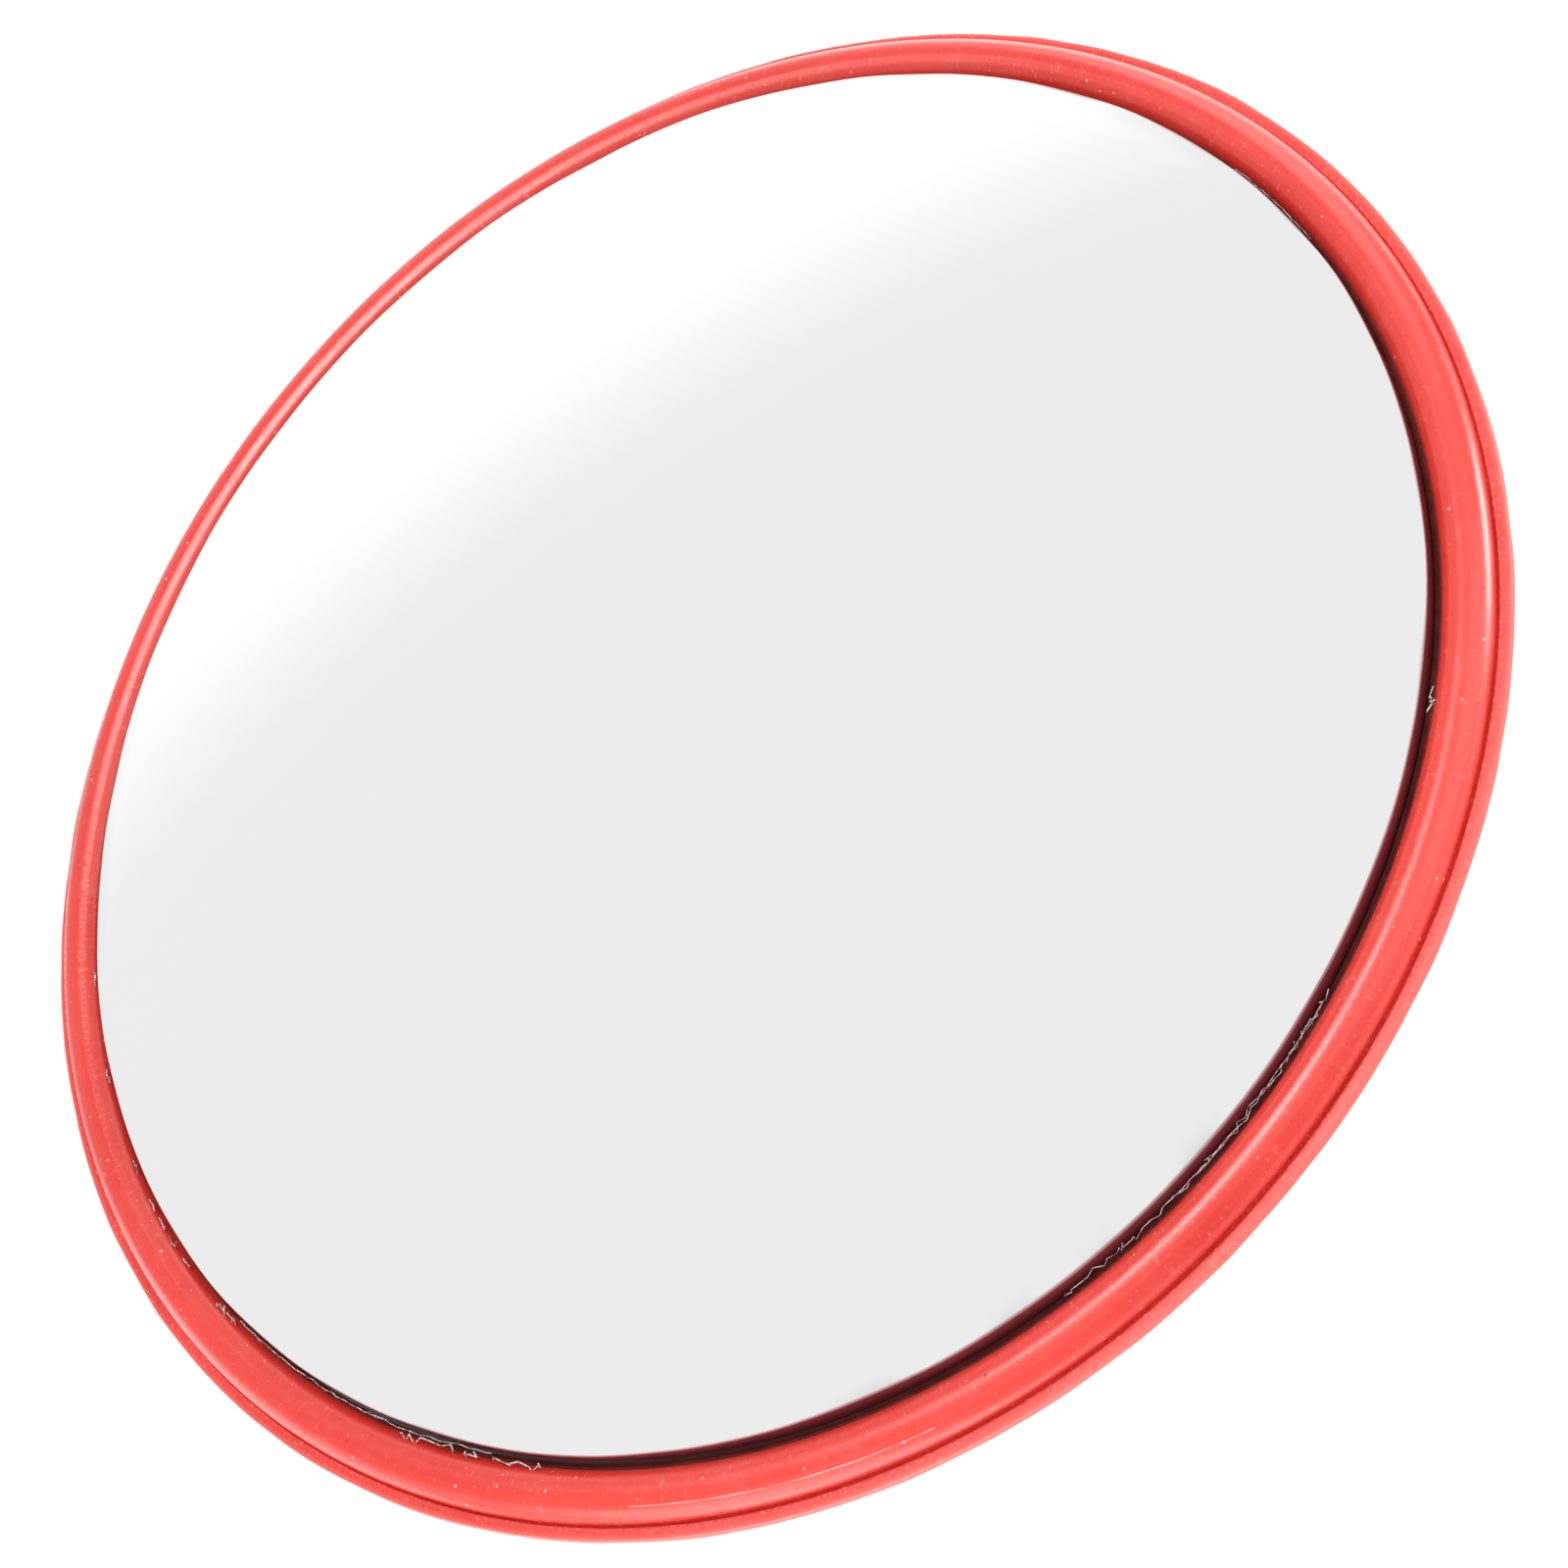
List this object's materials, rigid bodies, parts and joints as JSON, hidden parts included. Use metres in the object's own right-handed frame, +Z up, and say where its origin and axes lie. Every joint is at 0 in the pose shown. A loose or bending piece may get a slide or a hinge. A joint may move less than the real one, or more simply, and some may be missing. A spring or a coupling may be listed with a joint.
{
  "type": "traffic convex mirror",
  "caption": "Round convex traffic mirror with a red beaded edge and formed back shell, on a tilting and swivelling steel bracket with a hoop clamp for a round pole.",
  "frame": {"origin": "centre of the pole clamp's bore, on the pole's axis at mid height of the clamp", "axes": "+Z up along the pole, the mirror faces -Y, and +X is to the right of a viewer who stands in front of it and looks along +Y"},
  "size_m": [0.32, 0.1976, 0.32],
  "materials": {
    "mirror_lens": "bright mirror-coated polycarbonate",
    "red_edging": "glossy soft plastic edging",
    "clear_adhesive": "clear glue",
    "red_shell": "formed plastic sheet, satin to glossy",
    "zinc_steel": "galvanised",
    "bright_zinc": "bright zinc plated",
    "nylon": "natural nylon",
    "black_rubber": "matte"
  },
  "bodies": {
    "pole_bracket": {"clamp_front": "zinc_steel", "front_liner": "black_rubber", "clamp_bolts": "bright_zinc", "clamp_head_washers": "bright_zinc", "swivel_bolt": "bright_zinc", "swivel_washers": "bright_zinc", "swivel_spring_washer": "bright_zinc", "swivel_nut": "bright_zinc", "swivel_friction_washer": "nylon"},
    "clamp_back": {"clamp_rear": "zinc_steel", "rear_liner": "black_rubber", "clamp_washers": "bright_zinc", "clamp_spring_washers": "bright_zinc", "clamp_nuts": "bright_zinc"},
    "swivel_arm": {"swivel_fork": "zinc_steel", "tilt_sleeve": "zinc_steel", "friction_washers": "nylon"},
    "mirror_head": {"mirror_lens": "mirror_lens", "edge_ring": "red_edging", "lens_adhesive": "clear_adhesive", "back_shell": "red_shell", "inner_plate": "zinc_steel", "inner_nuts": "bright_zinc", "back_plate": "zinc_steel", "plate_washers": "bright_zinc", "plate_screws": "bright_zinc", "tilt_clevis": "zinc_steel", "tilt_bolt": "bright_zinc", "tilt_washers": "bright_zinc", "tilt_spring_washer": "bright_zinc", "tilt_nut": "bright_zinc"}
  },
  "joints": [
    {"name": "swivel", "type": "hinge", "parent": "pole_bracket", "child": "swivel_arm", "pos_m": [0, -0.058, 0], "axis": [0, 0, 1], "range_deg": [-45, 45]},
    {"name": "tilt", "type": "hinge", "parent": "swivel_arm", "child": "mirror_head", "pos_m": [0, -0.08, 0], "axis": [1, 0, 0], "range_deg": [-25, 25]},
    {"name": "clamp_opening", "type": "slide", "parent": "pole_bracket", "child": "clamp_back", "axis": [0, 1, 0], "range_m": [0, 0.012]}
  ]
}
